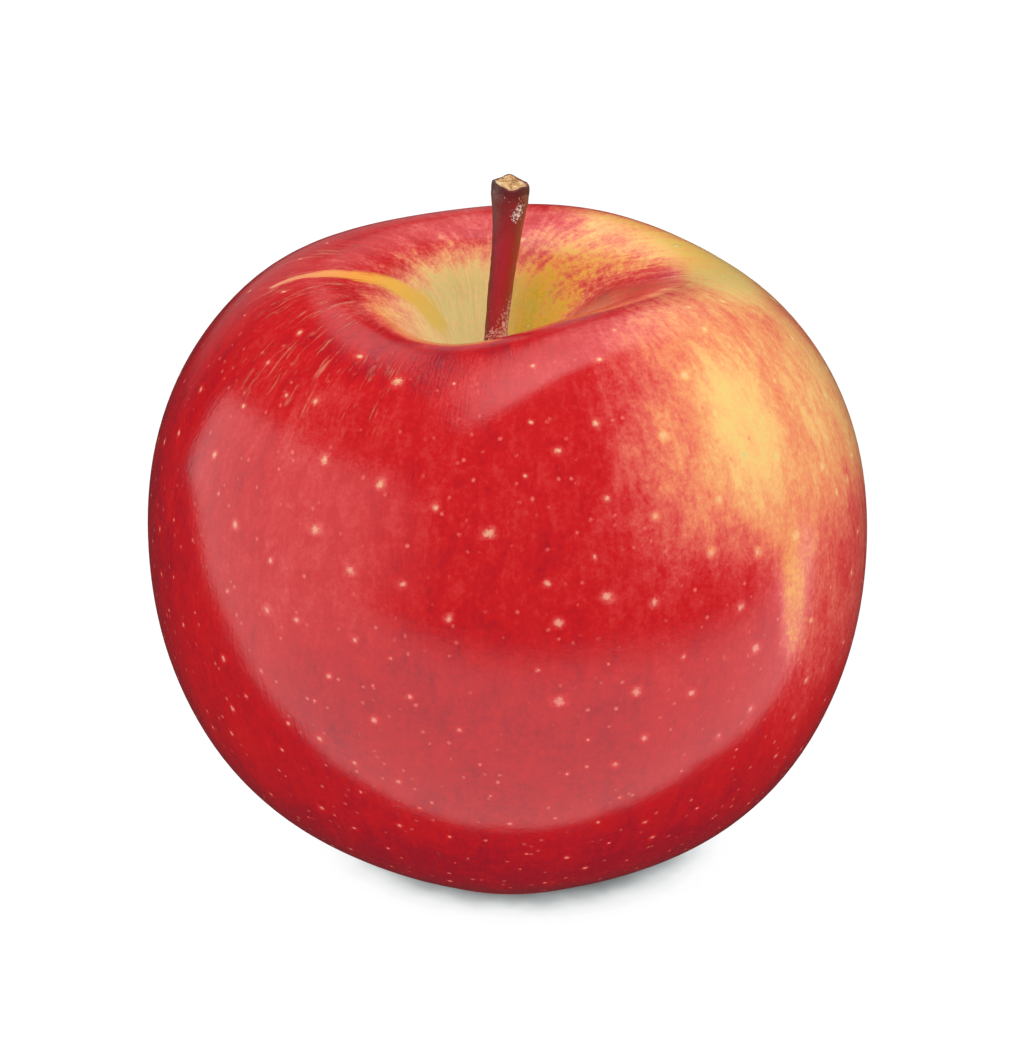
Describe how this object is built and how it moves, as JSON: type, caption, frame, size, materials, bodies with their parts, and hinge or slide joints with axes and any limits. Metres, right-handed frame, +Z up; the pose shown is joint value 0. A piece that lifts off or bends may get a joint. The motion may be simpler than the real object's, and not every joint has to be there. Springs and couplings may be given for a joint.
{
  "type": "whole apple",
  "caption": "Whole ripe apple, red over yellow, standing on the rim of its calyx basin, with its stem in a deep cavity.",
  "frame": {"origin": "middle of the fruit's footprint box, on the surface that it stands on", "axes": "+Z up along the fruit's axis towards the stem; -Y towards the side that is fullest red; +X towards the paler right side"},
  "size_m": [0.078, 0.078, 0.0748],
  "materials": {
    "skin": "smooth waxy skin, crimson over yellow, with fine streaks and pale dots",
    "stem_bark": "thin red-brown bark with a dry broken end",
    "dry_sepal": "dry, brown and downy",
    "dry_stamen": "dry, dark and dull"
  },
  "bodies": {
    "root": {"fruit": "skin", "stem": "stem_bark", "sepal_1": "dry_sepal", "sepal_2": "dry_sepal", "sepal_3": "dry_sepal", "sepal_4": "dry_sepal", "sepal_5": "dry_sepal", "dried_stamens": "dry_stamen"}
  },
  "joints": []
}
